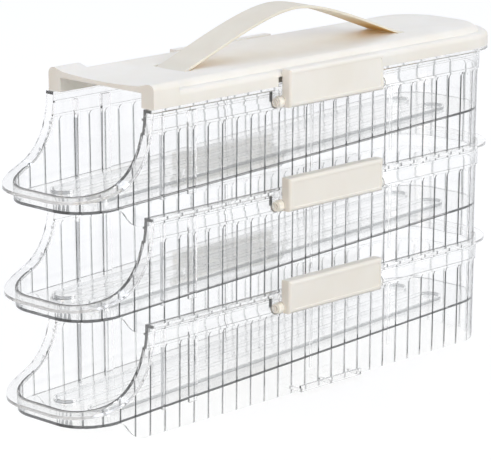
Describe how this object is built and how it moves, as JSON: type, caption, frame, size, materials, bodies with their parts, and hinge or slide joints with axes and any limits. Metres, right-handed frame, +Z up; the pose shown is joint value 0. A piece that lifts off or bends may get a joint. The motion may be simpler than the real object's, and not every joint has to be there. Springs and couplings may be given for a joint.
{
  "type": "egg dispenser tray",
  "caption": "Stack of clear ribbed trays with sloping floors and open front scoops, under a shallow lid with an arched strap, held together by swinging side latches.",
  "frame": {"origin": "middle of the footprint's bounding box, on the ground", "axes": "+Z up, +Y from the open scoops to the back, +X to the right seen from the scoops"},
  "size_m": [0.122, 0.4374, 0.2743],
  "materials": {
    "clear_plastic": "polished, see-through",
    "cream_plastic": "satin",
    "cream_soft_plastic": "soft satin"
  },
  "bodies": {
    "stack": {"tray_bottom": "clear_plastic", "tray_middle": "clear_plastic", "tray_top": "clear_plastic", "lid": "cream_plastic", "handle_strap": "cream_soft_plastic"},
    "right_bottom_latch": {"latch_right_bottom": "cream_plastic"},
    "right_middle_latch": {"latch_right_middle": "cream_plastic"},
    "right_top_latch": {"latch_right_top": "cream_plastic"},
    "left_bottom_latch": {"latch_left_bottom": "cream_plastic"},
    "left_middle_latch": {"latch_left_middle": "cream_plastic"},
    "left_top_latch": {"latch_left_top": "cream_plastic"},
    "front_foot": {"handle_foot_front": "cream_soft_plastic"},
    "back_foot": {"handle_foot_back": "cream_soft_plastic"}
  },
  "joints": [
    {"name": "right_bottom_latch_hinge", "type": "hinge", "parent": "stack", "child": "right_bottom_latch", "pos_m": [0.052, 0.018, 0.0695], "axis": [0, 1, 0], "range_deg": [0, 100]},
    {"name": "right_middle_latch_hinge", "type": "hinge", "parent": "stack", "child": "right_middle_latch", "pos_m": [0.052, 0.018, 0.1437], "axis": [0, 1, 0], "range_deg": [0, 100]},
    {"name": "right_top_latch_hinge", "type": "hinge", "parent": "stack", "child": "right_top_latch", "pos_m": [0.052, 0.018, 0.2179], "axis": [0, 1, 0], "range_deg": [0, 100]},
    {"name": "left_bottom_latch_hinge", "type": "hinge", "parent": "stack", "child": "left_bottom_latch", "pos_m": [-0.052, 0.018, 0.0695], "axis": [0, -1, 0], "range_deg": [0, 100]},
    {"name": "left_middle_latch_hinge", "type": "hinge", "parent": "stack", "child": "left_middle_latch", "pos_m": [-0.052, 0.018, 0.1437], "axis": [0, -1, 0], "range_deg": [0, 100]},
    {"name": "left_top_latch_hinge", "type": "hinge", "parent": "stack", "child": "left_top_latch", "pos_m": [-0.052, 0.018, 0.2179], "axis": [0, -1, 0], "range_deg": [0, 100]},
    {"name": "strap_front_slide", "type": "slide", "parent": "stack", "child": "front_foot", "axis": [0, -1, 0], "range_m": [0, 0.006], "deforming": ["handle_strap"]},
    {"name": "strap_back_slide", "type": "slide", "parent": "stack", "child": "back_foot", "axis": [0, 1, 0], "range_m": [0, 0.006]}
  ],
  "couplings": [
    {"joint": "strap_back_slide", "follows": "strap_front_slide", "ratio": 1}
  ]
}
